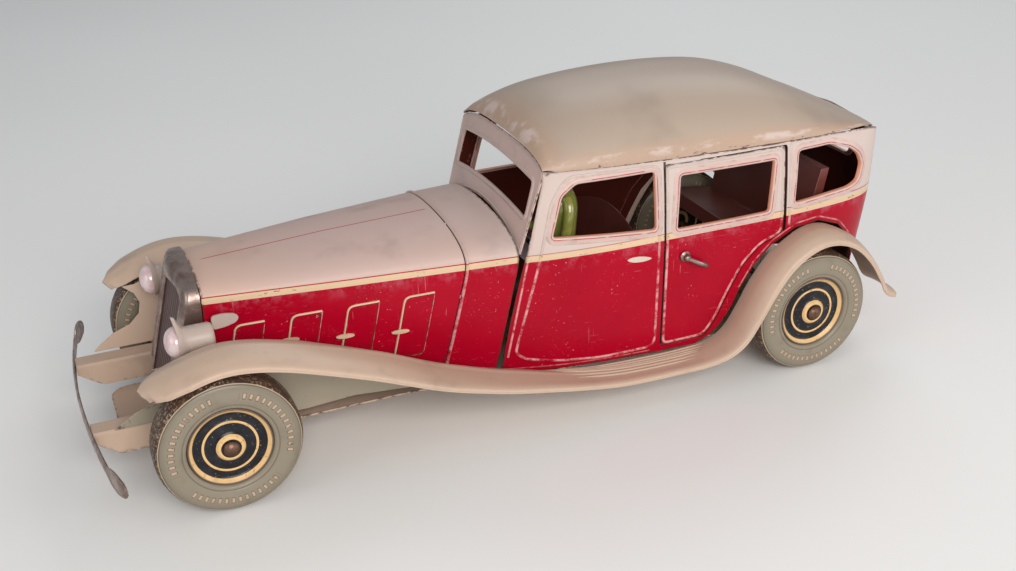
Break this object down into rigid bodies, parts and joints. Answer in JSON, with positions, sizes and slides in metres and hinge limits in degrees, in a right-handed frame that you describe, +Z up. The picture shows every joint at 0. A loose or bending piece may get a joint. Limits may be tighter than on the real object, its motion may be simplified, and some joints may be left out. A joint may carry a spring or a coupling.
{
  "type": "friction drive tin toy limousine",
  "caption": "Pressed tin toy limousine: long bonnet, sweeping wings with running boards, domed roof, opening rear doors, seated driver and a geared friction flywheel drive.",
  "frame": {"origin": "floor level under the middle of the bounding box", "axes": "+X to the front of the car, +Y to its left side, +Z up"},
  "size_m": [0.4834, 0.198, 0.1756],
  "materials": {
    "cream_paint": "worn gloss cream tin lacquer",
    "khaki_paint": "aged khaki cream gloss paint",
    "crimson_paint": "chipped gloss crimson over a cream upper half",
    "grey_paint": "grey green flat paint",
    "tyre_tin": "grey green sidewall print with a rubbed brown tread",
    "black_paint": "gloss black with cream rings",
    "nickel": "dulled nickel plate",
    "rusty_steel": "brown tarnished steel",
    "seat_paint": "dark red brown lacquer",
    "olive_paint": "glossy olive green",
    "face_paint": "painted face and cap",
    "lens_pink": "glossy pale pink dome",
    "gear_brass": "plain stamped gear"
  },
  "bodies": {
    "chassis": {"axle_bracket_left": "nickel", "axle_bracket_right": "nickel", "body_shell": "crimson_paint", "bonnet": "cream_paint", "bumper_blade": "nickel", "chassis_pan": "khaki_paint", "drive_plate_left": "nickel", "drive_plate_right": "nickel", "driver_body": "olive_paint", "driver_head": "face_paint", "fender_left": "khaki_paint", "fender_right": "khaki_paint", "front_axle": "rusty_steel", "front_seat": "seat_paint", "front_seat_back": "seat_paint", "headlamp_left": "cream_paint", "headlamp_right": "cream_paint", "hinge_pin_left": "nickel", "hinge_pin_right": "nickel", "hub_cap_front_left": "rusty_steel", "hub_cap_front_right": "rusty_steel", "lamp_bracket_left": "cream_paint", "lamp_bracket_right": "cream_paint", "lamp_lens_left": "lens_pink", "lamp_lens_right": "lens_pink", "radiator_grille": "rusty_steel", "radiator_shell": "nickel", "rail_left": "khaki_paint", "rail_right": "khaki_paint", "rear_seat": "seat_paint", "roof": "cream_paint", "scuttle": "cream_paint", "steering_wheel": "black_paint", "valance_left": "grey_paint", "valance_right": "grey_paint", "windscreen_frame": "cream_paint"},
    "front_left_wheel": {"tyre_front_left": "tyre_tin", "wheel_disc_front_left": "black_paint"},
    "front_right_wheel": {"tyre_front_right": "tyre_tin", "wheel_disc_front_right": "black_paint"},
    "rear_axle_set": {"rear_axle": "rusty_steel", "drive_gear": "gear_brass", "tyre_rear_left": "tyre_tin", "wheel_disc_rear_left": "black_paint", "hub_cap_rear_left": "rusty_steel", "tyre_rear_right": "tyre_tin", "wheel_disc_rear_right": "black_paint", "hub_cap_rear_right": "rusty_steel"},
    "lay_shaft_set": {"lay_shaft": "gear_brass"},
    "flywheel_set": {"flywheel_shaft": "gear_brass", "flywheel": "rusty_steel"},
    "left_rear_door": {"rear_door_left": "crimson_paint", "hinge_tube_left": "nickel"},
    "left_door_handle": {"door_handle_left": "nickel"},
    "right_rear_door": {"rear_door_right": "crimson_paint", "hinge_tube_right": "nickel"},
    "right_door_handle": {"door_handle_right": "nickel"}
  },
  "joints": [
    {"name": "front_left_wheel_spin", "type": "hinge", "parent": "chassis", "child": "front_left_wheel", "pos_m": [0.176, 0.0775, 0.038], "axis": [0, 1, 0], "continuous": true},
    {"name": "front_right_wheel_spin", "type": "hinge", "parent": "chassis", "child": "front_right_wheel", "pos_m": [0.176, -0.0775, 0.038], "axis": [0, 1, 0], "continuous": true},
    {"name": "rear_axle_spin", "type": "hinge", "parent": "chassis", "child": "rear_axle_set", "pos_m": [-0.175, 0, 0.038], "axis": [0, 1, 0], "continuous": true},
    {"name": "lay_shaft_spin", "type": "hinge", "parent": "chassis", "child": "lay_shaft_set", "pos_m": [-0.15952, 0, 0.04884], "axis": [0, 1, 0], "continuous": true},
    {"name": "flywheel_spin", "type": "hinge", "parent": "chassis", "child": "flywheel_set", "pos_m": [-0.14066, 0, 0.05016], "axis": [0, 1, 0], "continuous": true},
    {"name": "left_rear_door_hinge", "type": "hinge", "parent": "chassis", "child": "left_rear_door", "pos_m": [-0.16088, 0.06503, 0.1121], "axis": [0, 0, 1], "range_deg": [0, 25]},
    {"name": "left_door_handle_turn", "type": "hinge", "parent": "left_rear_door", "child": "left_door_handle", "pos_m": [-0.09456, 0.06916, 0.0836], "axis": [0, -1, 0], "range_deg": [0, 40]},
    {"name": "right_rear_door_hinge", "type": "hinge", "parent": "chassis", "child": "right_rear_door", "pos_m": [-0.16088, -0.06503, 0.1121], "axis": [0, 0, -1], "range_deg": [0, 25]},
    {"name": "right_door_handle_turn", "type": "hinge", "parent": "right_rear_door", "child": "right_door_handle", "pos_m": [-0.09456, -0.06916, 0.0836], "axis": [0, -1, 0], "range_deg": [0, 40]}
  ],
  "couplings": [
    {"joint": "lay_shaft_spin", "follows": "rear_axle_spin", "ratio": -2.5},
    {"joint": "flywheel_spin", "follows": "rear_axle_spin", "ratio": 6.25}
  ]
}
